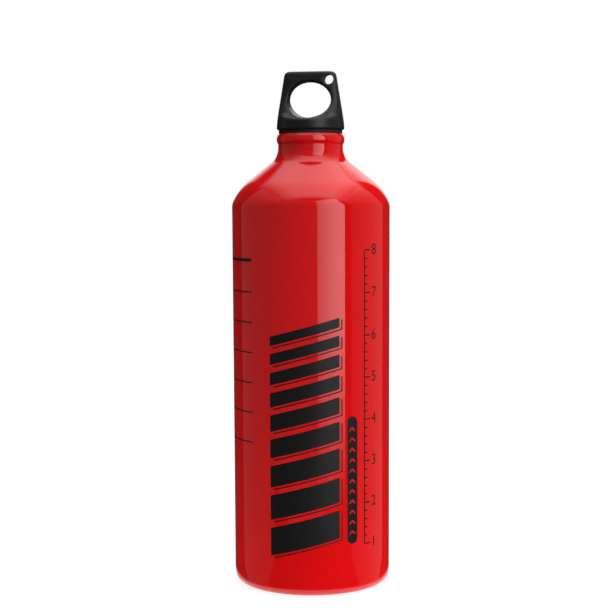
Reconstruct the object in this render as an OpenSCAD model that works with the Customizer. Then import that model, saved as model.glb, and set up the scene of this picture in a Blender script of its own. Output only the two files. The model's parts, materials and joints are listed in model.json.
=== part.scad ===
// Camping fuel bottle: a one-piece drawn aluminium bottle with a thread ring held
// in its rolled neck, and a moulded screw cap whose handle is a flat loop.
// +Z is up, the origin is the middle of the foot, and the loop faces along Y.

/* [Bottle] */
// Outside diameter of the straight body
body_d = 80; // [72:0.5:90]
// Height at which the straight side ends and the shoulder starts
side_h = 192.8; // [110:0.1:260]
// Wall of the side, the shoulder and the neck
wall_t = 1; // [0.8:0.1:1.4]
// Radius of the edge with which the side turns into the shoulder
shoulder_edge_r = 6; // [3:0.5:14]
// Turn of that edge
shoulder_edge_a = 24; // [10:1:35]
// Radius of the rounded shoulder above the edge
shoulder_r = 27; // [18:0.5:34]
// Steepest slope of the shoulder, from the upright
shoulder_a = 51.5; // [46:0.5:56]
// Radius with which the shoulder turns into the neck
neck_fillet_r = 10; // [7:0.5:11]

/* [Foot] */
// Thickness of the bottom
base_t = 1.8; // [1.2:0.1:2.4]
// Outer rounding where the side turns into the foot
base_r = 4; // [3:0.25:6]
// Width of the flat ring that the bottle stands on
foot_w = 4; // [2:0.5:8]
// Rise of the domed bottom above the table
dome_h = 5; // [3:0.5:10]

/* [Neck] */
// Inside diameter of the rolled lip
mouth_d = 28.8; // [24:0.1:34]
// Width from the mouth to the outside of the neck
neck_wide = 2; // [1.8:0.1:3]
// Straight neck between the shoulder's fillet and the rolled rim
neck_h = 1.5; // [0.6:0.1:8]
// Radius of the rolled rim's rounded side
rim_r = 4; // [3.4:0.1:5]
// How far the rolled rim stands out from the neck
rim_out = 0.8; // [0.4:0.1:1.2]
// Height of the rim from its widest line to the lip
rim_top_h = 3; // [2.6:0.1:3.3]

/* [Thread ring] */
// How far the bottom of the ring's thread grooves stands inside the lip
thread_in = 0.4; // [0.2:0.1:1]
// Depth of the thread
thread_h = 1.4; // [1:0.1:1.8]
// Play between the cap's plug and the crests of the ring's thread
thread_gap = 0.5; // [0.3:0.1:0.8]
// Height of the ring
ring_h = 14.5; // [8:0.5:20]
// Bevel at the ring's lower end
ring_bevel = 0.7; // [0.4:0.1:1]

/* [Gasket] */
// How far the gasket's edge stays inside the outside of the neck
gasket_in = 0.3; // [0:0.1:0.8]
// Thickness of the gasket
gasket_t = 1.7; // [1:0.1:2.5]
// Play between the gasket and the cap's plug
gasket_gap = 0.3; // [0.1:0.05:0.6]
// Rounding of the gasket's outer edge
gasket_edge_r = 0.4; // [0.2:0.05:0.5]

/* [Cap] */
// Play between the cap's band and the gasket
seat_gap = 0.02; // [0.01:0.01:0.1]
// Height of the cap above the gasket
cap_h = 29.1; // [26:0.1:36]
// How far the cap's round band stands out over the neck
band_over = 0.7; // [0.3:0.1:2]
// Height of the band
band_h = 3.7; // [3:0.1:6]
// Rounding of the band's lower edge
band_low_r = 0.9; // [0.4:0.1:1.4]
// Rounding where the band turns into the loop's front and back
band_top_r = 0.9; // [0.4:0.1:1.4]
// Length of the plug below the band
plug_l = 17.3; // [12:0.1:22]
// Wall of the hollow plug
plug_wall = 2.4; // [1.6:0.1:3.2]
// Bevel at the plug's lower end
plug_bevel = 0.8; // [0.4:0.1:1.2]
// Thickness of the floor between the hollow plug and the eye
core_roof = 4; // [2:0.1:5]
// Width of the two vent grooves down the plug
vent_w = 4; // [2:0.5:6]
// Depth of the vent grooves
vent_depth = 1; // [0.5:0.1:1.4]
// Plain length of the plug between the band and the vent grooves
vent_top = 6; // [4:0.5:9]
// How far the tightened cap is turned on the bottle
cap_turn = -9; // [-40:1:40]

/* [Loop] */
// How far the loop's sides stay inside the band where they leave it
loop_in = 0.2; // [0.1:0.1:1]
// Width of the loop at its flat top, without the rounded corners
loop_top_w = 25.6; // [22:0.1:30]
// Thickness of the plate just above its flare
plate_low_t = 8.4; // [7:0.1:10]
// Thickness of the plate at the top
plate_top_t = 6.6; // [5:0.1:8]
// Height of the flare that runs from the band into the plate
flare_h = 13.5; // [8:0.5:15]
// Where on its oval the flare starts: 0 leaves the band level, 60 steeply
flare_start = 45; // [0:5:60]
// Squareness of the plate's edges: 2 is an oval, 8 nearly a rectangle
plate_square = 5; // [3:0.5:8]
// Rounding of the loop's two top corners
corner_r = 2.6; // [1.5:0.1:4]
// Rounding of the plate's top edges, front and back
top_edge_r = 1.4; // [0.6:0.1:2]

/* [Eye and lanyard hole] */
// Width of the finger eye at its waist, half way through the loop
eye_w = 21.2; // [16:0.1:22]
// Height of the eye at its waist
eye_h = 18.1; // [14:0.1:18.4]
// Height of the eye's middle above the band
eye_up = 11.2; // [11:0.1:14]
// Draft with which the eye widens from its waist to the front and to the back
eye_draft = 6.5; // [1:0.5:7]
// Rounding of the eye's rims
eye_rim_r = 1.4; // [0.8:0.1:2]
// Diameter of the lanyard hole
lanyard_d = 5.6; // [3:0.1:6]
// Lanyard hole's distance to the side of the cap's axis
lanyard_out = 9.6; // [8:0.1:9.8]
// Lanyard hole's distance below the flat top
lanyard_down = 4.1; // [4:0.1:5]

/* [Hidden] */

$fn = 96;
arc_step = 3.5;     // largest turn between two points of an arc, in degrees
loft_sides = 48;    // points round each section of the loop and of the eye
cut_over = 1;       // how far a cut runs past the face that it opens
rim_turn = 60;      // turn of the eye rim's rounding before its bevel, in degrees
eye_floor_share = 0.08; // share of the rim's rounding left where the eye's floor runs out

body_r = body_d / 2;
mouth_r = mouth_d / 2;
neck_r = mouth_r + neck_wide;

// The bottom: a shallow dome inside the flat foot ring
foot_out_r = body_r - base_r;
foot_in_r = foot_out_r - foot_w;
dome_r = (foot_in_r * foot_in_r + dome_h * dome_h) / (2 * dome_h);
dome_a = asin(foot_in_r / dome_r);
base_inner_r = max(base_r - wall_t, 1);

// The shoulder: a tight edge, a wide round, a straight slope and a fillet, without a kink
shoulder_edge_c = [body_r - shoulder_edge_r, side_h];
shoulder_c = shoulder_edge_c
    + (shoulder_edge_r - shoulder_r) * [cos(shoulder_edge_a), sin(shoulder_edge_a)];
slope_low_r = shoulder_c[0] + shoulder_r * cos(shoulder_a);
slope_low_z = shoulder_c[1] + shoulder_r * sin(shoulder_a);
slope_top_r = neck_r + neck_fillet_r * (1 - cos(shoulder_a));
slope_top_z = slope_low_z + (slope_low_r - slope_top_r) / tan(shoulder_a);
neck_z = slope_top_z + neck_fillet_r * sin(shoulder_a);

// The rolled rim: its rounded side runs from the neck to the flat lip
rim_c = neck_r + rim_out - rim_r;
rim_low_a = acos((neck_r - rim_c) / rim_r);
rim_z = neck_z + neck_h + rim_r * sin(rim_low_a);
rim_top_a = asin(rim_top_h / rim_r);
lip_z = rim_z + rim_top_h;
rim_inner_r = rim_r - wall_t;
rim_inner_low_a = acos((neck_r - wall_t - rim_c) / rim_inner_r);
rim_inner_top_a = asin((rim_top_h - wall_t) / rim_inner_r);
ring_top_z = lip_z - wall_t;

// The cap sits on the gasket, and the gasket on the lip
gasket_top_z = lip_z + gasket_t;
seat_z = gasket_top_z + seat_gap;
bore_r = mouth_r - thread_in;
plug_r = bore_r - thread_h - thread_gap;
band_r = neck_r + band_over;
loop_low_r = band_r - loop_in;
band_top_z = seat_z + band_h;
cap_top_z = seat_z + cap_h;
plate_z = band_top_z + flare_h;
eye_z = band_top_z + eye_up;
core_top_z = eye_z - eye_h / 2 - core_roof;
rim_bevel = eye_rim_r;

// Points of an arc about c, from angle a0 to a1
function arc(c, r, a0, a1) =
    let (n = max(2, ceil(abs(a1 - a0) / arc_step)))
    [for (i = [0:n]) c + r * [cos(a0 + (a1 - a0) * i / n), sin(a0 + (a1 - a0) * i / n)]];

// A number between p and q, for t from 0 to 1
function mix(p, q, t) = p + (q - p) * t;

// A power that keeps the sign of its base
function signed_pow(v, e) = sign(v) * pow(abs(v), e);

// The side, shoulder, neck and rim of the bottle, inset by t from its outer face, upwards
function bottle_side(t) = concat(
    arc(shoulder_edge_c, shoulder_edge_r - t, 0, shoulder_edge_a),
    arc(shoulder_c, shoulder_r - t, shoulder_edge_a, shoulder_a),
    arc([neck_r + neck_fillet_r, neck_z], neck_fillet_r + t, 180 + shoulder_a, 180));

// The wall is one closed outline: up the outside, over the lip and down the inside
function shell_outline() = concat(
    arc([0, dome_h - dome_r], dome_r, 90, 90 - dome_a),
    arc([foot_out_r, base_r], base_r, -90, 0),
    bottle_side(0),
    arc([rim_c, rim_z], rim_r, -rim_low_a, rim_top_a),
    [[mouth_r, lip_z], [mouth_r, ring_top_z]],
    arc([rim_c, rim_z], rim_inner_r, rim_inner_top_a, -rim_inner_low_a),
    reversed(bottle_side(wall_t)),
    arc([body_r - wall_t - base_inner_r, base_t + base_inner_r], base_inner_r, 0, -90),
    arc([0, dome_h - dome_r], dome_r + base_t, 90 - inner_dome_a(), 90));

function reversed(list) = [for (i = [len(list) - 1:-1:0]) list[i]];

// Angle at which the inside of the dome meets the flat floor over the foot
function inner_dome_a() = acos((dome_r - dome_h + base_t) / (dome_r + base_t));

module bottle_shell() {
    color([0.78, 0.06, 0.06])
        rotate_extrude() polygon(shell_outline());
}

// The ring's flange fills the rolled rim, which holds it in the neck
module neck_thread_ring() {
    ring_low_z = ring_top_z - ring_h;
    outer_r = neck_r - wall_t;
    color([0.75, 0.76, 0.78])
        rotate_extrude() polygon(concat(
            [[bore_r, ring_low_z + ring_bevel], [bore_r + ring_bevel, ring_low_z],
             [outer_r, ring_low_z]],
            arc([rim_c, rim_z], rim_inner_r, -rim_inner_low_a, rim_inner_top_a),
            [[bore_r, ring_top_z]]));
}

module cap_gasket() {
    inner_r = plug_r + gasket_gap;
    outer_r = neck_r - gasket_in;
    edge_c = outer_r - gasket_edge_r;
    color([0.08, 0.08, 0.08])
        rotate_extrude() polygon(concat(
            [[inner_r, lip_z]],
            arc([edge_c, lip_z + gasket_edge_r], gasket_edge_r, -90, 0),
            arc([edge_c, gasket_top_z - gasket_edge_r], gasket_edge_r, 0, 90),
            [[inner_r, gasket_top_z]]));
}

// Half the loop's width at height z
function loop_half_w(z) =
    mix(loop_low_r, loop_top_w / 2, (z - band_top_z) / (cap_top_z - band_top_z));

// The flare is part of an oval that slopes in from the band and ends upright at the
// plate. t is 0 at the band and 1 at the plate.
function flare_turn(t) = mix(flare_start, 90, t);
function flare_z(t) = band_top_z + flare_h * (1 - cos(flare_turn(t)) / cos(flare_start));
function flare_t(z) =
    let (left = 1 - min(max(z - band_top_z, 0), flare_h) / flare_h)
    (acos(left * cos(flare_start)) - flare_start) / (90 - flare_start);
function flare_half_t(t) = mix(band_r - band_top_r, plate_low_t / 2,
    (sin(flare_turn(t)) - sin(flare_start)) / (1 - sin(flare_start)));

// Half the loop's thickness on its middle line, and the squareness of its section
function loop_half_t(z) = z < plate_z
    ? flare_half_t(flare_t(z))
    : mix(plate_low_t, plate_top_t, (z - plate_z) / (cap_top_z - plate_z)) / 2;
function loop_square(z) = mix(2, plate_square, pow(flare_t(z), 2) * (3 - 2 * flare_t(z)));

// Depth of the loop's face at a point, measured from the cap's middle plane
function face_depth(x, z) =
    let (n = loop_square(z), part = min(abs(x) / loop_half_w(z), 0.999))
    loop_half_t(z) * pow(1 - pow(part, n), 1 / n);

// One section of the loop: a rounded outline of half sizes a and b at height z
function section(z, a, b, n) =
    [for (i = [0:loft_sides - 1])
        let (t = 360 * i / loft_sides)
        [a * signed_pow(cos(t), 2 / n), b * signed_pow(sin(t), 2 / n), z]];

// A closed skin over a stack of rings that have the same number of points
module loft(rings) {
    n = len(rings[0]);
    last = (len(rings) - 1) * n;
    polyhedron(
        points = [for (ring = rings, p = ring) p],
        faces = concat(
            [[for (i = [0:n - 1]) i]],
            [for (j = [0:len(rings) - 2], i = [0:n - 1])
                let (k = (i + 1) % n) each
                [[j * n + i, (j + 1) * n + i, (j + 1) * n + k],
                 [j * n + i, (j + 1) * n + k, j * n + k]]],
            [[for (i = [n - 1:-1:0]) last + i]]));
}

// The band and the loop in one skin: the round band draws in to a flat plate,
// which ends in rounded corners
module band_and_loop() {
    draw_in_z = band_top_z - band_top_r;
    corner_z = cap_top_z - corner_r;
    middle_z = mix(plate_z, corner_z, 0.5);
    top_a = loop_half_w(corner_z);
    top_b = loop_half_t(corner_z);
    loft(concat(
        [for (u = [0:30:90])
            let (r = band_r - band_low_r * (1 - sin(u)))
            section(seat_z + band_low_r * (1 - cos(u)), r, r, 2)],
        [for (u = [0:30:60])
            section(draw_in_z + band_top_r * sin(u),
                mix(band_r, loop_low_r, sin(u)), band_r - band_top_r * (1 - cos(u)), 2)],
        [for (t = [0:0.1:1])
            let (z = flare_z(t))
            section(z, loop_half_w(z), flare_half_t(t), loop_square(z))],
        [section(middle_z, loop_half_w(middle_z), loop_half_t(middle_z), plate_square)],
        [for (u = [0:15:90])
            section(corner_z + corner_r * sin(u),
                top_a - corner_r * (1 - cos(u)), top_b - top_edge_r * (1 - cos(u)),
                plate_square)]));
}

// A point (x, z) of the eye's outline at an angle, moved outwards by a distance, and
// the depth of the loop's face there
function eye_point(angle, out) =
    let (normal = [cos(angle) / eye_w, sin(angle) / eye_h])
    [eye_w / 2 * cos(angle), eye_z + eye_h / 2 * sin(angle)] + normal / norm(normal) * out;
function eye_depth(angle, out) =
    let (p = eye_point(angle, out))
    face_depth(p[0], p[1]);

// One ring of the eye's cutter. It spreads with the rounding of the rim, which fades
// towards the eye's floor: turn is 0 at the tunnel's wall, and past the last turn a
// straight bevel runs out through the face.
function eye_ring(side, turn, bevel) =
    [for (i = [0:loft_sides - 1])
        let (
            angle = 360 * i / loft_sides,
            share = mix(eye_floor_share, 1, min(max((sin(angle) + 1) / 0.6, 0), 1)),
            slant = tan(eye_draft),
            out = slant * eye_depth(angle, slant * eye_depth(angle, 0))
                + share * (eye_rim_r * (1 - cos(turn)) + bevel * sin(turn)),
            p = eye_point(angle, out),
            depth = eye_depth(angle, out)
                + share * (bevel * cos(turn) - eye_rim_r * (1 - sin(turn))))
        [p[0], side * depth, p[1]]];

// The eye's waist, in the loop's middle plane
function eye_waist() =
    [for (i = [0:loft_sides - 1])
        let (p = eye_point(360 * i / loft_sides, 0))
        [p[0], 0, p[1]]];

// The ring in which the cutter ends, flat and clear of the loop
function eye_end(side) =
    [for (p = eye_ring(side, rim_turn, rim_bevel)) [p[0], side * (band_r + cut_over), p[2]]];

// The eye's cutter: a tunnel that widens from its waist and ends in the rims' rounding
module eye() {
    turns = [0:rim_turn / 4:rim_turn];
    loft(concat(
        [eye_end(1), eye_ring(1, rim_turn, rim_bevel)],
        reversed([for (u = turns) eye_ring(1, u, 0)]),
        [eye_waist()],
        [for (u = turns) eye_ring(-1, u, 0)],
        [eye_ring(-1, rim_turn, rim_bevel), eye_end(-1)]));
}

module plug() {
    low_z = seat_z - plug_l;
    rotate_extrude() polygon([
        [0, seat_z + cut_over], [0, low_z], [plug_r - plug_bevel, low_z],
        [plug_r, low_z + plug_bevel], [plug_r, seat_z + cut_over]]);
}

// The plug is cored from below, as a moulding of even wall
module plug_core() {
    low_z = seat_z - plug_l - cut_over;
    translate([0, 0, low_z])
        cylinder(r = plug_r - plug_wall, h = core_top_z - low_z);
}

// Each groove lets pressure out while the thread still holds the cap
module vent_groove() {
    translate([plug_r - vent_depth, -vent_w / 2, seat_z - plug_l - cut_over])
        cube([vent_depth + cut_over, vent_w, plug_l - vent_top + cut_over]);
}

module screw_cap() {
    color([0.1, 0.1, 0.1])
        rotate([0, 0, cap_turn])
            difference() {
                union() {
                    band_and_loop();
                    plug();
                }
                eye();
                plug_core();
                translate([lanyard_out, 0, cap_top_z - lanyard_down])
                    rotate([90, 0, 0]) cylinder(d = lanyard_d, h = 2 * band_r, center = true);
                for (turn = [0, 180]) rotate([0, 0, turn]) vent_groove();
            }
}

bottle_shell();
neck_thread_ring();
cap_gasket();
screw_cap();
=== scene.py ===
import bmesh
import bpy
import json
import math
from mathutils import Matrix, Vector

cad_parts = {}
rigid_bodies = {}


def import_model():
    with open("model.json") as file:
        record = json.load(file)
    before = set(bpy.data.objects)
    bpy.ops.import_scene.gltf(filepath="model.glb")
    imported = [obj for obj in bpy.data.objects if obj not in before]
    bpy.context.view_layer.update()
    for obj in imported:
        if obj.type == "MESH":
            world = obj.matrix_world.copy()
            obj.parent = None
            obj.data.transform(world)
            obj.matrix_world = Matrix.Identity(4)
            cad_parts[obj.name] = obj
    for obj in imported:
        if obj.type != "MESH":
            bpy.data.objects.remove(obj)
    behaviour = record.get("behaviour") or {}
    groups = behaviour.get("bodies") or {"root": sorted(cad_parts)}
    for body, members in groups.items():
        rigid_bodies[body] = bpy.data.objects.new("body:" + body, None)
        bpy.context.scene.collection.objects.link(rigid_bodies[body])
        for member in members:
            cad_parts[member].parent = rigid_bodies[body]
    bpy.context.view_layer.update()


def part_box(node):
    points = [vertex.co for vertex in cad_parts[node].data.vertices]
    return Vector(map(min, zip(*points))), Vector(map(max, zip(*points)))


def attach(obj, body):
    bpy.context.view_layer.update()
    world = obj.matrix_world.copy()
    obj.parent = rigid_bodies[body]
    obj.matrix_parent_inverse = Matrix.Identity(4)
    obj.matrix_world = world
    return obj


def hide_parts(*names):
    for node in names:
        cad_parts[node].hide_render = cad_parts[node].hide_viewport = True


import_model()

# The camera stands before the bottle, two thirds of the way up it, and looks a little down.
# Its lens is long enough that the sides stay nearly parallel, and the picture's centre is
# shifted up, so that the whole bottle fits in a square frame of 616 by 616 pixels.
picture = 616
sensor_width = 36
focal_px = 1488.1
camera_away = 0.76
camera_height = 0.2016
look_down = math.radians(6.755)
camera_roll = math.radians(-0.228)
axis_px = 311.49
centre_row_px = 364.94

bpy.ops.object.select_all(action="DESELECT")
bpy.ops.object.camera_add()
camera = bpy.context.object
camera.matrix_world = (Matrix.Translation((0, -camera_away, camera_height))
                       @ Matrix.Rotation(math.pi / 2 - look_down, 4, "X")
                       @ Matrix.Rotation(camera_roll, 4, "Z"))
camera.data.sensor_width = sensor_width
camera.data.lens = focal_px / picture * sensor_width
camera.data.shift_x = (picture / 2 - axis_px) / picture
camera.data.shift_y = (centre_row_px - picture / 2) / picture
bpy.context.scene.camera = camera


# The bottle is drawn from one slug of aluminium, necked in at the shoulder and rolled over
# at the mouth, then lacquered red outside. The inside is bare. It is turned here from one
# outline, up the outside, over the lip and down the inside.
mm = 0.001
arc_step = math.radians(2)
turn_steps = 192
crease = math.radians(35)
weld = 0.001 * mm

shell_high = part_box("bottle_shell")[1]
print_t = 0.02 * mm
body_r = shell_high.x - 2 * print_t
lip_z = shell_high.z
wall_t = 1 * mm
side_h = 192.8 * mm
shoulder_edge_r = 6 * mm
shoulder_edge_a = math.radians(24)
shoulder_r = 27 * mm
shoulder_a = math.radians(51.5)
neck_fillet_r = 10 * mm
base_t = 1.8 * mm
base_r = 4 * mm
foot_w = 4 * mm
dome_h = 5 * mm
neck_r = 16.4 * mm
rim_r = 4 * mm
rim_out = 0.8 * mm
rim_top_h = 3 * mm
mouth_r = 14.4 * mm
lip_edge_r = 0.35 * mm
lip_cut = 0.3 * lip_edge_r
bare_mouth_h = 1.2 * mm
facing_up = 0.5


def arc(centre, radius, start, end):
    """Points (r, z) along an arc, from one angle to the other."""
    steps = max(3, math.ceil(abs(end - start) / arc_step))
    angles = [start + (end - start) * i / steps for i in range(steps + 1)]
    return [(centre[0] + radius * math.cos(a), centre[1] + radius * math.sin(a)) for a in angles]


def add_point():
    """One selected vertex at the origin of the mesh that is being edited."""
    bpy.ops.mesh.primitive_plane_add(size=mm, location=(0, 0, 0))
    bpy.ops.mesh.merge(type="CENTER")


def start_mesh(name):
    """A new object without a mesh yet, in edit mode."""
    bpy.ops.object.select_all(action="DESELECT")
    bpy.ops.mesh.primitive_plane_add(size=mm, location=(0, 0, 0))
    piece = bpy.context.object
    piece.name = name
    bpy.ops.object.mode_set(mode="EDIT")
    bpy.ops.mesh.select_all(action="SELECT")
    bpy.ops.mesh.delete(type="VERT")
    return piece


def trace(points):
    """Draws a line through points (x, y, z) by extruding one vertex."""
    add_point()
    here = Vector((0, 0, 0))
    for i, point in enumerate(points):
        step = Vector(point) - here
        if i == 0:
            bpy.ops.transform.translate(value=step)
        else:
            bpy.ops.mesh.extrude_vertices_move(TRANSFORM_OT_translate={"value": step})
        here = Vector(point)


def lathe(name, outline, closed=False):
    """Turns an outline of (r, z) points round the bottle's axis."""
    piece = start_mesh(name)
    trace([(r, 0, z) for r, z in outline + (outline[:1] if closed else [])])
    bpy.ops.mesh.select_all(action="SELECT")
    bpy.ops.mesh.spin(steps=turn_steps, angle=2 * math.pi, center=(0, 0, 0), axis=(0, 0, 1))
    bpy.ops.mesh.select_all(action="SELECT")
    bpy.ops.mesh.remove_doubles(threshold=weld)
    bpy.ops.mesh.normals_make_consistent(inside=False)
    bpy.ops.object.mode_set(mode="OBJECT")
    bpy.ops.object.shade_smooth_by_angle(angle=crease)
    return piece


foot_out_r = body_r - base_r
foot_in_r = foot_out_r - foot_w
dome_r = (foot_in_r ** 2 + dome_h ** 2) / (2 * dome_h)
dome_centre = (0, dome_h - dome_r)
dome_a = math.asin(foot_in_r / dome_r)
inner_dome_a = math.acos((dome_r - dome_h + base_t) / (dome_r + base_t))
base_inner_r = base_r - wall_t

shoulder_edge_centre = (body_r - shoulder_edge_r, side_h)
shoulder_step = shoulder_edge_r - shoulder_r
shoulder_centre = (shoulder_edge_centre[0] + shoulder_step * math.cos(shoulder_edge_a),
                   shoulder_edge_centre[1] + shoulder_step * math.sin(shoulder_edge_a))
slope_low_r = shoulder_centre[0] + shoulder_r * math.cos(shoulder_a)
slope_low_z = shoulder_centre[1] + shoulder_r * math.sin(shoulder_a)
slope_top_r = neck_r + neck_fillet_r * (1 - math.cos(shoulder_a))
slope_top_z = slope_low_z + (slope_low_r - slope_top_r) / math.tan(shoulder_a)
neck_z = slope_top_z + neck_fillet_r * math.sin(shoulder_a)

rim_z = lip_z - rim_top_h
rim_centre = (neck_r + rim_out - rim_r, rim_z)
rim_low_a = math.acos((neck_r - rim_centre[0]) / rim_r)
rim_top_a = math.asin((rim_top_h - lip_edge_r) / rim_r)
rim_inner_r = rim_r - wall_t
rim_inner_low_a = math.acos((neck_r - wall_t - rim_centre[0]) / rim_inner_r)
rim_inner_top_a = math.asin((rim_top_h - wall_t) / rim_inner_r)
rim_top_r = rim_centre[0] + rim_r * math.cos(rim_top_a)
neck_fillet_centre = (neck_r + neck_fillet_r, neck_z)


def bottle_side(inset):
    """The straight side, shoulder and neck fillet, inset from the outer face, upwards."""
    return (arc(shoulder_edge_centre, shoulder_edge_r - inset, 0, shoulder_edge_a)
            + arc(shoulder_centre, shoulder_r - inset, shoulder_edge_a, shoulder_a)
            + arc(neck_fillet_centre, neck_fillet_r + inset, math.pi + shoulder_a, math.pi))


lip = [(rim_top_r - lip_cut, lip_z - lip_cut), (rim_top_r - lip_edge_r, lip_z),
       (mouth_r + lip_edge_r, lip_z), (mouth_r + lip_cut, lip_z - lip_cut),
       (mouth_r, lip_z - lip_edge_r), (mouth_r, lip_z - wall_t)]
outer_side = (arc(dome_centre, dome_r, math.pi / 2, math.pi / 2 - dome_a)
              + arc((foot_out_r, base_r), base_r, -math.pi / 2, 0)
              + bottle_side(0)
              + arc(rim_centre, rim_r, -rim_low_a, rim_top_a))
inner_side = (arc(rim_centre, rim_inner_r, rim_inner_top_a, -rim_inner_low_a)
              + bottle_side(wall_t)[::-1]
              + arc((body_r - wall_t - base_inner_r, base_t + base_inner_r), base_inner_r,
                    0, -math.pi / 2)
              + arc(dome_centre, dome_r + base_t, math.pi / 2 - inner_dome_a, math.pi / 2))
bottle = lathe("bottle", outer_side + lip + inner_side)


def shader(name):
    """A new material with its node tree, its Principled shader and object coordinates."""
    material = bpy.data.materials.new(name)
    material.use_nodes = True
    tree = material.node_tree
    coordinates = tree.nodes.new("ShaderNodeTexCoord").outputs["Object"]
    return material, tree, tree.nodes["Principled BSDF"], coordinates


def noise(tree, coordinates, size, detail=2):
    """Noise whose spots are about size metres across."""
    node = tree.nodes.new("ShaderNodeTexNoise")
    node.inputs["Scale"].default_value = 1 / size
    node.inputs["Detail"].default_value = detail
    tree.links.new(coordinates, node.inputs["Vector"])
    return node.outputs["Fac"]


def spread(tree, value, low, high):
    """A value from 0 to 1 spread between low and high."""
    node = tree.nodes.new("ShaderNodeMapRange")
    node.inputs["To Min"].default_value = low
    node.inputs["To Max"].default_value = high
    tree.links.new(value, node.inputs["Value"])
    return node.outputs["Result"]


def blend_colours(tree, amount, low, high):
    """A colour between two colours, by an amount from 0 to 1."""
    node = tree.nodes.new("ShaderNodeMix")
    node.data_type = "RGBA"
    node.inputs["A"].default_value = (*low, 1)
    node.inputs["B"].default_value = (*high, 1)
    tree.links.new(amount, node.inputs["Factor"])
    return node.outputs["Result"]


def finish(name, colours, patches, roughness, mottle, grain, depth, strength, detail=2):
    """A finish and its shader. Its two colours mix in patches, its roughness goes up and
    down in a mottle, and its grain is bumps of a depth. Patches, mottle and grain are sizes."""
    material, tree, principled, place = shader(name)
    tree.links.new(blend_colours(tree, noise(tree, place, patches), *colours),
                   principled.inputs["Base Color"])
    tree.links.new(spread(tree, noise(tree, place, mottle), *roughness),
                   principled.inputs["Roughness"])
    bumps = tree.nodes.new("ShaderNodeBump")
    bumps.inputs["Distance"].default_value = depth
    bumps.inputs["Strength"].default_value = strength
    tree.links.new(noise(tree, place, grain, detail), bumps.inputs["Height"])
    tree.links.new(bumps.outputs["Normal"], principled.inputs["Normal"])
    return material, principled


lacquer, principled = finish("red_lacquer", patches=30 * mm, mottle=4 * mm,
                             colours=((0.57, 0.0028, 0.0038), (0.62, 0.0034, 0.0045)),
                             roughness=(0.30, 0.40),
                             grain=1.5 * mm, depth=0.002 * mm, strength=0.1, detail=1)
principled.inputs["Specular IOR Level"].default_value = 0
principled.inputs["Coat Weight"].default_value = 1
principled.inputs["Coat Roughness"].default_value = 0.03

drawn_aluminium, principled = finish("drawn_aluminium", patches=8 * mm, mottle=0.6 * mm,
                                     colours=((0.62, 0.62, 0.63), (0.74, 0.74, 0.75)),
                                     roughness=(0.32, 0.48),
                                     grain=0.3 * mm, depth=0.004 * mm, strength=0.4)
principled.inputs["Metallic"].default_value = 1

bottle.data.materials.append(lacquer)
bottle.data.materials.append(drawn_aluminium)
for face in bottle.data.polygons:
    middle = Vector(face.center)
    r = math.hypot(middle.x, middle.y)
    outward = face.normal.x * middle.x + face.normal.y * middle.y
    inside = outward < 0 and middle.z > base_t and r < body_r - wall_t / 2
    bottom = middle.z < dome_h + 2 * base_t and face.normal.z > facing_up
    mouth = r < mouth_r + lip_edge_r and middle.z > lip_z - bare_mouth_h
    face.material_index = 1 if inside or bottom or mouth else 0
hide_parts("bottle_shell")
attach(bottle, "bottle")


# The print is black ink, screen printed on the lacquer: a stack of slanted bars, a pill
# of arrows, a level scale in tenths of a litre, and lines to write on. It is drawn flat,
# cut into strips as wide as the facets of the bottle, and wrapped round it.
ink_sink = 0.01 * mm
ink_corner_r = 0.5 * mm
bars_left, bars_right, bars_low = -21.5 * mm, 14 * mm, 20 * mm
bar_slope = math.tan(math.radians(15))
bar_heights = [14.2, 12.4, 10.8, 9.4, 8.2, 7.1, 6.2, 5.4, 4.7]
bar_gap = 3.9 * mm
shadow_gap = 0.9 * mm
hair_w = 0.65 * mm
pill_x, pill_w, pill_low, pill_high = 21 * mm, 5.8 * mm, 26 * mm, 90 * mm
pill_end_r = 0.49 * pill_w
arrow_pitch, arrow_w, arrow_rise, arrow_t = 5.2 * mm, 3.2 * mm, 1.4 * mm, 1.1 * mm
scale_x, scale_zero, scale_pitch, scale_marks = 28.5 * mm, 4 * mm, 20.97 * mm, 8
small_marks, long_mark, short_mark = 5, 4 * mm, 2 * mm
number_size, number_out = 7.5 * mm, 5 * mm
print_right = 1.5 * scale_x
lines_left, lines_right, lines_top, lines_pitch = -104 * mm, -33 * mm, 166 * mm, 15 * mm
thin_lines = 6
heading_t = 1.6 * mm


def cut(piece, cutter, operation="DIFFERENCE"):
    """Cuts a piece with another one, or joins them, and deletes the cutter."""
    bpy.ops.object.select_all(action="DESELECT")
    bpy.context.view_layer.objects.active = piece
    piece.select_set(True)
    modifier = piece.modifiers.new("cut", "BOOLEAN")
    modifier.operation = operation
    modifier.solver = "EXACT"
    modifier.object = cutter
    bpy.ops.object.modifier_apply(modifier=modifier.name)
    bpy.data.objects.remove(cutter)


def patch(corners, corner_r=0.0):
    """Adds a flat patch of ink through corners (x, z) and rounds them."""
    bpy.ops.mesh.select_all(action="DESELECT")
    trace([(x, 0, z) for x, z in corners])
    bpy.ops.mesh.select_linked()
    bpy.ops.mesh.edge_face_add()
    if corner_r:
        bpy.ops.mesh.bevel(offset=corner_r, segments=6, affect="VERTICES")


def strip(left, right, low, high, corner_r=0.0):
    patch([(left, low), (right, low), (right, high), (left, high)], corner_r)


def raise_ink(low, high):
    """Gives the flat patches in edit mode their thickness, from low to high."""
    bpy.ops.mesh.select_all(action="SELECT")
    bpy.ops.transform.translate(value=(0, -low, 0))
    bpy.ops.mesh.extrude_region_move(TRANSFORM_OT_translate={"value": (0, low - high, 0)})
    bpy.ops.mesh.select_all(action="SELECT")
    bpy.ops.mesh.normals_make_consistent(inside=False)
    bpy.ops.object.mode_set(mode="OBJECT")


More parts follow.
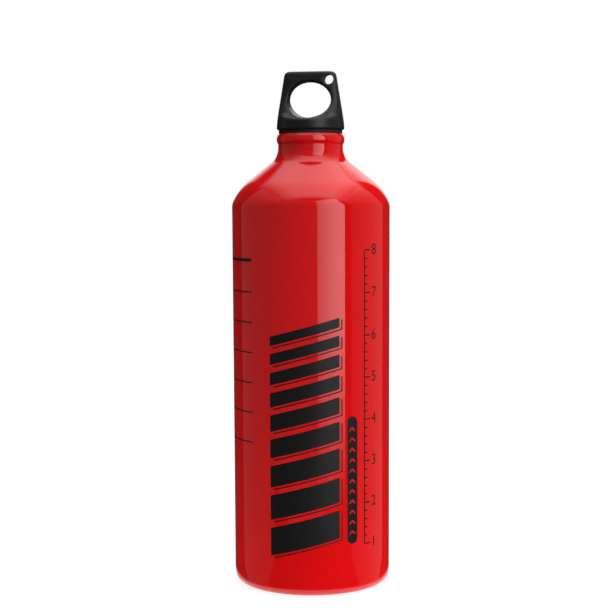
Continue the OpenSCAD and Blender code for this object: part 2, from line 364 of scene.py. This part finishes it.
pill = start_mesh("pill")
strip(pill_x - pill_w / 2, pill_x + pill_w / 2, pill_low, pill_high, pill_end_r)
raise_ink(-ink_sink, print_t)
arrows = start_mesh("arrows")
arrow_z = pill_low + pill_w
while arrow_z < pill_high - pill_w:
    patch([(pill_x - arrow_w / 2, arrow_z - arrow_rise), (pill_x, arrow_z),
           (pill_x + arrow_w / 2, arrow_z - arrow_rise),
           (pill_x + arrow_w / 2, arrow_z - arrow_rise + arrow_t), (pill_x, arrow_z + arrow_t),
           (pill_x - arrow_w / 2, arrow_z - arrow_rise + arrow_t)])
    arrow_z += arrow_pitch
raise_ink(-mm, mm)
cut(pill, arrows)

ink = start_mesh("bottle_print")
low = bars_low
rise = (bars_right - bars_left) * bar_slope
for height in bar_heights:
    high = low + height * mm
    patch([(bars_left, low), (bars_right, low + rise), (bars_right, high + rise),
           (bars_left, high)], ink_corner_r)
    left, inner = bars_left + 2 * shadow_gap, bars_right + shadow_gap
    outer = inner + hair_w
    under = low - shadow_gap
    patch([(left, under - hair_w + (left - bars_left) * bar_slope),
           (outer, under - hair_w + (outer - bars_left) * bar_slope),
           (outer, high + rise - shadow_gap), (inner, high + rise - shadow_gap),
           (inner, under + (inner - bars_left) * bar_slope),
           (left, under + (left - bars_left) * bar_slope)])
    low = high + bar_gap
scale_low, scale_high = scale_zero + scale_pitch, scale_zero + scale_marks * scale_pitch
strip(scale_x - hair_w / 2, scale_x + hair_w / 2, scale_low, scale_high)
for i in range((scale_marks - 1) * small_marks + 1):
    z = scale_low + scale_pitch / small_marks * i
    mark = short_mark if i % small_marks else long_mark
    strip(scale_x + hair_w / 2, scale_x + mark, z - hair_w / 2, z + hair_w / 2)
strip(lines_left, lines_right, lines_top, lines_top + heading_t)
for i in range(thin_lines):
    z = lines_top - lines_pitch * (i + 1)
    strip(lines_left, lines_right, z - hair_w / 2, z + hair_w / 2)
raise_ink(-ink_sink, print_t)

parts = [ink, pill]
for i in range(scale_marks):
    bpy.ops.object.text_add(location=(scale_x + number_out, (ink_sink - print_t) / 2,
                                      scale_low + scale_pitch * i),
                            rotation=(math.pi / 2, 0, 0))
    number = bpy.context.object
    number.data.body = str(i + 1)
    number.data.size = number_size
    number.data.align_y = "CENTER"
    number.data.extrude = (ink_sink + print_t) / 2
    bpy.ops.object.convert(target="MESH")
    bpy.ops.object.transform_apply(location=True, rotation=True, scale=True)
    parts.append(bpy.context.object)
bpy.ops.object.select_all(action="DESELECT")
for part in parts:
    part.select_set(True)
bpy.context.view_layer.objects.active = ink
bpy.ops.object.join()
bpy.ops.object.mode_set(mode="EDIT")
facet_w = 2 * math.pi / turn_steps * body_r
for i in range(math.floor(lines_left / facet_w), math.ceil(print_right / facet_w)):
    bpy.ops.mesh.select_all(action="SELECT")
    bpy.ops.mesh.bisect(plane_co=(i * facet_w, 0, 0), plane_no=(1, 0, 0))
bpy.ops.mesh.select_all(action="SELECT")
bpy.ops.mesh.remove_doubles(threshold=weld)
bpy.ops.object.mode_set(mode="OBJECT")
corners_x = [corner[0] for corner in ink.bound_box]
wrap = ink.modifiers.new("wrap", "SIMPLE_DEFORM")
wrap.deform_method = "BEND"
wrap.deform_axis = "Z"
wrap.angle = (max(corners_x) - min(corners_x)) / body_r
bpy.ops.object.modifier_apply(modifier=wrap.name)
bpy.ops.object.mode_set(mode="EDIT")
bpy.ops.mesh.select_all(action="SELECT")
bpy.ops.transform.translate(value=(0, -body_r, 0))
bpy.ops.mesh.normals_make_consistent(inside=False)
bpy.ops.object.mode_set(mode="OBJECT")
bpy.ops.object.shade_smooth_by_angle(angle=crease)

black_ink, principled = finish("black_ink", patches=6 * mm, mottle=1.2 * mm,
                               colours=((0.0035, 0.0035, 0.004), (0.006, 0.006, 0.0065)),
                               roughness=(0.36, 0.48),
                               grain=0.25 * mm, depth=0.002 * mm, strength=0.4, detail=1)
principled.inputs["Specular IOR Level"].default_value = 0.3
ink.data.materials.append(black_ink)
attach(ink, "bottle")


# The neck ring is turned from aluminium and fills the rolled rim, which holds it. Its
# thread is a raised ridge of 3.5 mm pitch in the bore.
pitch = 3.5 * mm
thread_root_r = 14 * mm
thread_h = 1.4 * mm
thread_sink = 0.3 * mm
thread_turns = 3
ring_h = 14.5 * mm
ring_bevel = 0.7 * mm
ring_top_z = lip_z - wall_t
ring_low_z = ring_top_z - ring_h
thread_low_z = 215.2 * mm


def thread_ridge(name, root_r, crest_r, low_z):
    """A right-hand thread ridge that starts on the +X side at a height."""
    root_w, crest_w, steps = 1.5 * mm, 0.7 * mm, 96
    piece = start_mesh(name)
    ridge = [(root_r, 0, low_z - root_w / 2), (crest_r, 0, low_z - crest_w / 2),
             (crest_r, 0, low_z + crest_w / 2), (root_r, 0, low_z + root_w / 2)]
    trace(ridge + ridge[:1])
    bpy.ops.mesh.select_all(action="SELECT")
    bpy.ops.mesh.remove_doubles(threshold=weld)
    bpy.ops.object.mode_set(mode="OBJECT")
    screw = piece.modifiers.new("screw", "SCREW")
    screw.axis = "Z"
    screw.angle = 2 * math.pi
    screw.screw_offset = pitch
    screw.iterations = thread_turns
    screw.steps = screw.render_steps = steps
    bpy.ops.object.modifier_apply(modifier=screw.name)
    bpy.ops.object.mode_set(mode="EDIT")
    bpy.ops.mesh.select_all(action="SELECT")
    bpy.ops.mesh.remove_doubles(threshold=weld)
    bpy.ops.mesh.select_all(action="DESELECT")
    bpy.ops.mesh.select_mode(type="EDGE")
    bpy.ops.mesh.select_non_manifold()
    bpy.ops.mesh.fill()
    bpy.ops.mesh.select_all(action="SELECT")
    bpy.ops.mesh.normals_make_consistent(inside=False)
    bpy.ops.mesh.select_mode(type="VERT")
    bpy.ops.object.mode_set(mode="OBJECT")
    return piece


ring = lathe("neck_ring", [(thread_root_r, ring_low_z + ring_bevel),
                           (thread_root_r + ring_bevel, ring_low_z),
                           (neck_r - wall_t, ring_low_z)]
             + arc(rim_centre, rim_inner_r, -rim_inner_low_a, rim_inner_top_a)
             + [(thread_root_r, ring_top_z)], closed=True)
cut(ring, thread_ridge("ring_thread", thread_root_r + thread_sink, thread_root_r - thread_h,
                       thread_low_z + pitch / 2), "UNION")
bpy.ops.object.shade_smooth_by_angle(angle=crease)

turned_aluminium, principled = finish("turned_aluminium", patches=3 * mm, mottle=0.4 * mm,
                                      colours=((0.66, 0.66, 0.67), (0.76, 0.76, 0.77)),
                                      roughness=(0.22, 0.34),
                                      grain=0.15 * mm, depth=0.003 * mm, strength=0.4)
principled.inputs["Metallic"].default_value = 1
ring.data.materials.append(turned_aluminium)
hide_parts("neck_thread_ring")
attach(ring, "bottle")


# The gasket is a flat ring of black rubber. It lies on the lip, and the cap's band
# presses it down.
gasket_low, gasket_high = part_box("cap_gasket")
gasket_r = gasket_high.x
gasket_in_r = 12.4 * mm
gasket_edge_r = 0.4 * mm

gasket = lathe("gasket", [(gasket_in_r, gasket_low.z)]
               + arc((gasket_r - gasket_edge_r, gasket_low.z + gasket_edge_r), gasket_edge_r,
                     -math.pi / 2, 0)
               + arc((gasket_r - gasket_edge_r, gasket_high.z - gasket_edge_r), gasket_edge_r,
                     0, math.pi / 2)
               + [(gasket_in_r, gasket_high.z)], closed=True)

rubber, principled = finish("black_rubber", patches=2 * mm, mottle=0.5 * mm,
                            colours=((0.006, 0.005, 0.005), (0.012, 0.010, 0.010)),
                            roughness=(0.55, 0.75),
                            grain=0.2 * mm, depth=0.01 * mm, strength=0.5)
principled.inputs["Specular IOR Level"].default_value = 0.25
gasket.data.materials.append(rubber)
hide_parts("cap_gasket")
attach(gasket, "seal")


# The cap is one moulding of black plastic: a round band, a flat loop that flares out of
# it, and a hollow threaded plug below. Its mould parts in the loop's middle plane, so the
# eye widens from a waist there.
seat_gap = 0.02 * mm
seat_z = gasket_high.z + seat_gap
cap_top_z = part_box("screw_cap")[1].z
band_r = neck_r + 0.7 * mm
band_h = 3.7 * mm
band_edge_r = 0.9 * mm
plug_r = 12.1 * mm
plug_length = 17.3 * mm
plug_bevel = 0.8 * mm
core_r = 9.7 * mm
core_bevel = 1 * mm
core_roof = 4 * mm
core_below = 2 * mm
vent_w = 4 * mm
vent_depth = 1 * mm
vent_cut_t = 4 * mm
vent_top = 6 * mm
loop_low_r = band_r - 0.2 * mm
loop_top_r = 12.8 * mm
plate_low_t = 8.4 * mm
plate_top_t = 6.6 * mm
flare_h = 15.5 * mm
flare_start = math.radians(45)
flare_edge_h = 4.7 * mm
plate_square = 5
corner_r = 2.6 * mm
top_edge_r = 1.4 * mm
face_end = 0.999
band_edge_steps, flare_steps, corner_steps = 4, 12, 6
eye_a = 10.4 * mm
eye_b = 8.75 * mm
eye_low = 9.05 * mm
eye_draft = math.radians(6.5)
eye_low_draft = 0.35
eye_rim_r = 1.2 * mm
eye_rim_step, eye_rim_steps = math.radians(12), 6
eye_low_rim, eye_low_part = 0.3, 0.6
lanyard_r = 2.4 * mm
lanyard_out = 9.6 * mm
lanyard_down = 4.1 * mm
lanyard_rim_r = 0.5 * mm
cap_turn = math.radians(-9)
cap_sides = 96
moulding_grain = 0.3 * mm
moulding_rounds = 4

band_top_z = seat_z + band_h
eye_z = band_top_z + 11.2 * mm
plate_z = band_top_z + flare_h


def mix(low, high, part):
    return low + (high - low) * part


def signed_power(value, power):
    return math.copysign(abs(value) ** power, value)


def loop_half_w(z):
    """Half the loop's width at a height."""
    return mix(loop_low_r, loop_top_r, (z - band_top_z) / (cap_top_z - band_top_z))


def flare_part(z):
    """How far up its oval the flare is at a height: 0 at the band, 1 at the plate."""
    left = 1 - min(max(z - band_top_z, 0), flare_h) / flare_h
    return (math.acos(left * math.cos(flare_start)) - flare_start) / (math.pi / 2 - flare_start)


def flare_height(part):
    turn = mix(flare_start, math.pi / 2, part)
    return band_top_z + flare_h * (1 - math.cos(turn) / math.cos(flare_start))


def loop_half_t(z):
    """Half the loop's thickness at a height."""
    if z >= plate_z:
        return mix(plate_low_t, plate_top_t, (z - plate_z) / (cap_top_z - plate_z)) / 2
    turn = mix(flare_start, math.pi / 2, flare_part(z))
    rise = (math.sin(turn) - math.sin(flare_start)) / (1 - math.sin(flare_start))
    part = min(max(z - band_top_z, 0) / flare_edge_h, 1)
    return mix(band_r, plate_low_t / 2, rise * part ** 2 * (3 - 2 * part))


def squareness(z):
    part = flare_part(z)
    return mix(2, plate_square, part ** 2 * (3 - 2 * part))


def face_depth(x, z):
    """Depth of the loop's face at a point, from the loop's middle plane."""
    power = squareness(z)
    part = min(abs(x) / loop_half_w(z), face_end)
    return loop_half_t(z) * (1 - part ** power) ** (1 / power)


def pick(piece, numbers):
    """Selects the vertices with the given numbers in edit mode."""
    bpy.ops.mesh.select_all(action="DESELECT")
    mesh = bmesh.from_edit_mesh(piece.data)
    mesh.verts.ensure_lookup_table()
    for number in numbers:
        mesh.verts[number].select_set(True)
    mesh.select_flush(True)
    bmesh.update_edit_mesh(piece.data)


def loft(name, rings):
    """Traces closed rings of points, bridges each to the one before and closes the ends."""
    piece = start_mesh(name)
    sides = len(rings[0])
    for i, outline in enumerate(rings):
        trace(outline)
        first = i * sides
        pick(piece, (first, first + sides - 1))
        bpy.ops.mesh.edge_face_add()
        if i:
            pick(piece, range(first - sides, first + sides))
            bpy.ops.mesh.bridge_edge_loops()
    for first in (0, (len(rings) - 1) * sides):
        pick(piece, range(first, first + sides))
        bpy.ops.mesh.edge_face_add()
    bpy.ops.mesh.select_all(action="SELECT")
    bpy.ops.mesh.normals_make_consistent(inside=False)
    bpy.ops.object.mode_set(mode="OBJECT")
    return piece


def section(z, half_w, half_t, power):
    """One section of the loop: a rounded outline at a height."""
    angles = [2 * math.pi * i / cap_sides for i in range(cap_sides)]
    return [(half_w * signed_power(math.cos(a), 2 / power),
             half_t * signed_power(math.sin(a), 2 / power), z) for a in angles]


def quarter(steps):
    """Angles from 0 to a quarter turn."""
    return [math.pi / 2 * i / steps for i in range(steps + 1)]


corner_z = cap_top_z - corner_r
top_w = loop_half_w(corner_z)
top_t = loop_half_t(corner_z)
rings = []
for a in quarter(band_edge_steps):
    r = band_r - band_edge_r * (1 - math.sin(a))
    rings.append(section(seat_z + band_edge_r * (1 - math.cos(a)), r, r, 2))
for i in range(flare_steps + 1):
    z = flare_height(i / flare_steps)
    rings.append(section(z, loop_half_w(z), loop_half_t(z), squareness(z)))
z = mix(plate_z, corner_z, 1 / 2)
rings.append(section(z, loop_half_w(z), loop_half_t(z), plate_square))
for a in quarter(corner_steps):
    rings.append(section(corner_z + corner_r * math.sin(a),
                         top_w - corner_r * (1 - math.cos(a)),
                         top_t - top_edge_r * (1 - math.cos(a)), plate_square))
cap = loft("cap", rings)

plug = lathe("plug", [(0, seat_z + band_h / 2), (plug_r, seat_z + band_h / 2),
                      (plug_r, seat_z - plug_length + plug_bevel),
                      (plug_r - plug_bevel, seat_z - plug_length), (0, seat_z - plug_length)])
cut(plug, thread_ridge("plug_thread", plug_r - thread_sink, plug_r + thread_h, thread_low_z),
    "UNION")
cut(cap, plug, "UNION")
core_top_z = eye_z - eye_low - core_roof
core_low_z = ring_low_z - core_below
cut(cap, lathe("core", [(0, core_top_z), (core_r - core_bevel, core_top_z),
                        (core_r, core_top_z - core_bevel), (core_r, core_low_z),
                        (0, core_low_z)]))
for side in (-1, 1):
    bpy.ops.object.select_all(action="DESELECT")
    bpy.ops.mesh.primitive_cube_add(size=1, location=(0, 0, 0))
    vent = bpy.context.object
    bpy.ops.object.mode_set(mode="EDIT")
    bpy.ops.transform.resize(value=(vent_cut_t, vent_w, plug_length))
    bpy.ops.transform.translate(value=(side * (plug_r - vent_depth + vent_cut_t / 2), 0,
                                       seat_z - vent_top - plug_length / 2))
    bpy.ops.object.mode_set(mode="OBJECT")
    cut(cap, vent)


def eye_point(angle, out):
    """A point (x, z) of the eye's outline, moved outwards by a distance."""
    normal = Vector((math.cos(angle) / eye_a, math.sin(angle) / eye_b)).normalized()
    return (eye_a * math.cos(angle) + normal.x * out,
            eye_z + eye_b * math.sin(angle) + normal.y * out)


def eye_ring(side, turn, bevel):
    """One ring of the eye's cutter, which spreads with the rounding of the rim. Low in the
    eye, towards the band, both the rounding and the draft are less."""
    points = []
    for i in range(cap_sides):
        angle = 2 * math.pi * i / cap_sides
        rise = math.sin(angle) + 1
        share = mix(eye_low_rim, 1, min(rise / eye_low_part, 1))
        slant = math.tan(eye_draft) * mix(eye_low_draft, 1, min(rise, 1))
        reach = face_depth(*eye_point(angle, slant * face_depth(*eye_point(angle, 0))))
        x, z = eye_point(angle, slant * reach + share * (eye_rim_r * (1 - math.cos(turn))
                                                         + bevel * math.sin(turn)))
        depth = face_depth(x, z) + share * (bevel * math.cos(turn)
                                            - eye_rim_r * (1 - math.sin(turn)))
        points.append((x, side * depth, z))
    return points


turns = [eye_rim_step * i for i in range(eye_rim_steps)]
half = [eye_ring(1, turn, 0) for turn in turns] + [eye_ring(1, turns[-1], eye_rim_r)]
half.append([(x, band_r + mm, z) for x, y, z in half[-1]])
waist = [(x, 0, z) for x, z in (eye_point(2 * math.pi * i / cap_sides, 0)
                                for i in range(cap_sides))]
cut(cap, loft("eye", half[::-1] + [waist] + [[(x, -y, z) for x, y, z in r] for r in half]))

lanyard_z = cap_top_z - lanyard_down
hole_t = face_depth(lanyard_out, lanyard_z)
hole = [(lanyard_r + lanyard_rim_r * (1 - math.cos(a)), hole_t - lanyard_rim_r * (1 - math.sin(a)))
        for a in quarter(corner_steps)[:-1]] + [(lanyard_r + lanyard_rim_r, band_r)]
outline = [(0, -band_r)] + [(r, -y) for r, y in hole[::-1]] + hole + [(0, band_r)]
lanyard = lathe("lanyard", outline)
bpy.ops.object.mode_set(mode="EDIT")
bpy.ops.mesh.select_all(action="SELECT")
bpy.ops.transform.rotate(value=math.pi / 2, orient_axis="X", center_override=(0, 0, 0))
bpy.ops.transform.translate(value=(lanyard_out, 0, lanyard_z))
bpy.ops.object.mode_set(mode="OBJECT")
cut(cap, lanyard)

bpy.ops.object.select_all(action="DESELECT")
bpy.context.view_layer.objects.active = cap
cap.select_set(True)
remesh = cap.modifiers.new("remesh", "REMESH")
remesh.mode = "VOXEL"
remesh.voxel_size = moulding_grain
bpy.ops.object.modifier_apply(modifier=remesh.name)
smooth = cap.modifiers.new("smooth", "SMOOTH")
smooth.factor = 0.5
smooth.iterations = moulding_rounds
bpy.ops.object.modifier_apply(modifier=smooth.name)
bpy.ops.object.shade_smooth()
bpy.ops.object.mode_set(mode="EDIT")
bpy.ops.mesh.select_all(action="SELECT")
bpy.ops.transform.rotate(value=-cap_turn, orient_axis="Z", center_override=(0, 0, 0))
bpy.ops.object.mode_set(mode="OBJECT")

plastic, principled = finish("black_plastic", patches=5 * mm, mottle=1.5 * mm,
                             colours=((0.0045, 0.0045, 0.005), (0.008, 0.008, 0.009)),
                             roughness=(0.34, 0.44),
                             grain=0.25 * mm, depth=0.004 * mm, strength=0.5, detail=1)
principled.inputs["Specular IOR Level"].default_value = 0.35
cap.data.materials.append(plastic)
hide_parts("screw_cap")
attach(cap, "cap")


# The floor is a wide pale sheet in a white surround. Soft boxes hang over the bottle and
# stand behind it and right of the camera, dim reflectors stand round the rest, and two lamps
# fill the shade. The lacquer mirrors a bright disc of floor, a little wider than the bottle.
floor_paint_grey, floor_shade_grey, floor_roughness = 0.6, 0.2, 0.9
floor_white, floor_edge, white_from, white_to = 0.86, 1.0, 0.1, 0.5
table_glow, glow_from, glow_to = 0.85, 0.06, 0.26
plinth_glow, plinth_low_r, plinth_high_r = 1.55, 43.2 * mm, 52.8 * mm

bpy.ops.object.select_all(action="DESELECT")
bpy.ops.mesh.primitive_plane_add(size=8, location=(0, 0, 0))
floor_sheet = bpy.context.object
floor_sheet.name = "floor"
floor_paint, tree, principled, place = shader("pale_floor")
principled.inputs["Base Color"].default_value = (*[floor_paint_grey] * 3, 1)
principled.inputs["Roughness"].default_value = floor_roughness
principled.inputs["Specular IOR Level"].default_value = 0
seen = tree.nodes.new("ShaderNodeLightPath")
away = tree.nodes.new("ShaderNodeVectorMath")
away.operation = "LENGTH"
tree.links.new(place, away.inputs[0])
from_bottle = away.outputs["Value"]


def band(tree, value, start, end, low, high):
    """Goes smoothly from low to high while a value goes from start to end."""
    node = tree.nodes.new("ShaderNodeMapRange")
    node.interpolation_type = "SMOOTHSTEP"
    node.inputs["From Min"].default_value = start
    node.inputs["From Max"].default_value = end
    node.inputs["To Min"].default_value = low
    node.inputs["To Max"].default_value = high
    tree.links.new(value, node.inputs["Value"])
    return node.outputs["Result"]


def blend_shaders(tree, amount, first, second):
    node = tree.nodes.new("ShaderNodeMixShader")
    tree.links.new(amount, node.inputs[0])
    tree.links.new(first, node.inputs[1])
    tree.links.new(second, node.inputs[2])
    return node.outputs[0]


def times(tree, first, second):
    node = tree.nodes.new("ShaderNodeMath")
    node.operation = "MULTIPLY"
    tree.links.new(first, node.inputs[0])
    tree.links.new(second, node.inputs[1])
    return node.outputs[0]


def from_middle(tree, value, width):
    """How far a place from 0 to 1 is from the middle of a width."""
    node = tree.nodes.new("ShaderNodeMath")
    node.operation = "ABSOLUTE"
    tree.links.new(spread(tree, value, -width / 2, width / 2), node.inputs[0])
    return node.outputs[0]


principled.inputs["Emission Color"].default_value = (1, 1, 1, 1)
tree.links.new(band(tree, from_bottle, glow_from, glow_to, table_glow, 0),
               principled.inputs["Emission Strength"])
glow = tree.nodes.new("ShaderNodeEmission")
tree.links.new(band(tree, from_bottle, white_from, white_to, floor_white, floor_edge),
               glow.inputs["Strength"])
shade = tree.nodes.new("ShaderNodeBsdfDiffuse")
shade.inputs["Color"].default_value = (*[floor_shade_grey] * 3, 1)
shown = tree.nodes.new("ShaderNodeAddShader")
tree.links.new(glow.outputs[0], shown.inputs[0])
tree.links.new(shade.outputs[0], shown.inputs[1])
clear = tree.nodes.new("ShaderNodeBsdfTransparent")
mirrored = tree.nodes.new("ShaderNodeEmission")
mirrored.inputs["Strength"].default_value = plinth_glow
beyond = band(tree, from_bottle, plinth_low_r, plinth_high_r, 0, 1)
paint = blend_shaders(tree, seen.outputs["Is Camera Ray"], principled.outputs[0],
                      shown.outputs[0])
around = blend_shaders(tree, beyond, mirrored.outputs[0], clear.outputs[0])
paint = blend_shaders(tree, seen.outputs["Is Glossy Ray"], paint, around)
tree.links.new(paint, tree.nodes["Material Output"].inputs["Surface"])
floor_sheet.data.materials.append(floor_paint)

ambient_level, reflected_level = 0.05, 0.03
world = bpy.data.worlds.new("studio")
bpy.context.scene.world = world
world.use_nodes = True
tree = world.node_tree
ambient = tree.nodes["Background"]
ambient.inputs["Color"].default_value = (1, 1, 1, 1)
seen = tree.nodes.new("ShaderNodeLightPath")
surround = tree.nodes.new("ShaderNodeMix")
tree.links.new(seen.outputs["Is Camera Ray"], surround.inputs["Factor"])
tree.links.new(spread(tree, seen.outputs["Is Glossy Ray"], ambient_level, reflected_level),
               surround.inputs["A"])
surround.inputs["B"].default_value = 1
through = tree.nodes.new("ShaderNodeMath")
through.operation = "MAXIMUM"
tree.links.new(surround.outputs["Result"], through.inputs[0])
tree.links.new(seen.outputs["Is Transmission Ray"], through.inputs[1])
tree.links.new(through.outputs[0], ambient.inputs["Strength"])


def soft_box(name, place, width, height, brightness):
    """An area lamp that faces the bottle's axis level, or straight down over it."""
    bpy.ops.object.light_add(type="AREA", location=place)
    lamp = bpy.context.object
    lamp.name = name
    aim = Vector((-place[0], -place[1], 0))
    if math.hypot(place[0], place[1]) > 1:
        lamp.rotation_euler = aim.to_track_quat("-Z", "Y").to_euler()
    lamp.data.shape = "RECTANGLE"
    lamp.data.size = width
    lamp.data.size_y = height
    lamp.data.energy = brightness * math.pi * width * height
    lamp.data.use_nodes = True
    lamp.visible_camera = False
    return lamp


def lamp_place(lamp):
    """The lamp's node tree, and the place on it from 0 to 1, across and up."""
    tree = lamp.data.node_tree
    place = tree.nodes.new("ShaderNodeNewGeometry").outputs["Parametric"]
    axes = tree.nodes.new("ShaderNodeSeparateXYZ")
    tree.links.new(place, axes.inputs[0])
    return tree, axes.outputs[0], axes.outputs[1]


def shine(tree, strength, *fades):
    """Makes a lamp shine at a strength, with its fades multiplied in."""
    for fade in fades:
        strength = times(tree, strength, fade)
    tree.links.new(strength, tree.nodes["Emission"].inputs["Strength"])


def round_the_bottle(azimuth, away, height):
    """A place at an azimuth from the camera's side towards the right, in degrees."""
    turn = math.radians(azimuth)
    return (away * math.sin(turn), -away * math.cos(turn), height)


def ramp(tree, value, start, end, low, high):
    """Goes straight from low to high while a value goes from start to end."""
    result = band(tree, value, start, end, low, high)
    result.node.interpolation_type = "LINEAR"
    return result


lamp_away = 1.2
overhead_w, backdrop_w = 2.3, 1.9

overhead = soft_box("overhead", place=(0.05, 0.08, lamp_away), width=overhead_w, height=1.76,
                    brightness=1.88)
tree, across, up = lamp_place(overhead)
shine(tree, band(tree, from_middle(tree, across, overhead_w), start=0.3, end=1.05, low=1, high=0),
      ramp(tree, across, start=0, end=1, low=0.72, high=1.28),
      band(tree, up, start=0, end=0.18, low=0, high=1),
      band(tree, up, start=0.795, end=0.994, low=1, high=0))

key_strip = soft_box("key_strip", round_the_bottle(29, lamp_away, 0.665), width=0.874,
                     height=1.97, brightness=3.15)
tree, across, up = lamp_place(key_strip)
shine(tree, band(tree, up, start=0.031, end=0.21, low=0, high=1),
      ramp(tree, across, start=0.05, end=0.75, low=0.42, high=1))

right_wall = soft_box("right_wall", round_the_bottle(93, lamp_away, 0.65), width=1.59, height=2,
                      brightness=0.33)
tree, across, up = lamp_place(right_wall)
shine(tree, ramp(tree, across, start=0, end=0.7, low=0.4, high=1),
      band(tree, up, start=0.62, end=0.78, low=1, high=1.6))

left_wall = soft_box("left_wall", round_the_bottle(-88, lamp_away, 0.65), width=1.5, height=2,
                     brightness=0.18)
tree, across, up = lamp_place(left_wall)
shine(tree, ramp(tree, across, start=0.6, end=1, low=1, high=0.75),
      band(tree, up, start=0.68, end=0.88, low=1, high=1.8))

front_wall = soft_box("front_wall", round_the_bottle(-11, 1.9, 1.1), width=3.9, height=3.1,
                      brightness=0.15)
tree, across, up = lamp_place(front_wall)
shine(tree, band(tree, up, start=0.4, end=0.6, low=1, high=1.25))

right_fill = soft_box("right_fill", round_the_bottle(49, lamp_away, 0.6), width=1, height=1.6,
                      brightness=3.05)
top_fill = soft_box("top_fill", place=(-0.22, 0.28, lamp_away), width=1.1, height=1.1,
                    brightness=3.2)

# The backdrop is a bright wedge, narrow at its foot.
backdrop = soft_box("backdrop", place=(0.05, lamp_away, 0.97), width=backdrop_w, height=1.56,
                    brightness=2)
tree, across, up = lamp_place(backdrop)
spare = tree.nodes.new("ShaderNodeMath")
spare.operation = "SUBTRACT"
tree.links.new(from_middle(tree, across, backdrop_w), spare.inputs[0])
tree.links.new(spread(tree, up, 0, 0.5), spare.inputs[1])
shine(tree, ramp(tree, up, start=0, end=0.71, low=0.3, high=1.11),
      band(tree, up, start=0.85, end=1, low=1, high=0),
      band(tree, spare.outputs[0], start=0.24, end=0.42, low=1, high=0))

for lamp in (right_fill, top_fill):
    lamp.visible_glossy = False
for lamp in (key_strip, left_wall, front_wall):
    lamp.visible_diffuse = False

bpy.context.scene.view_settings.view_transform = "Standard"
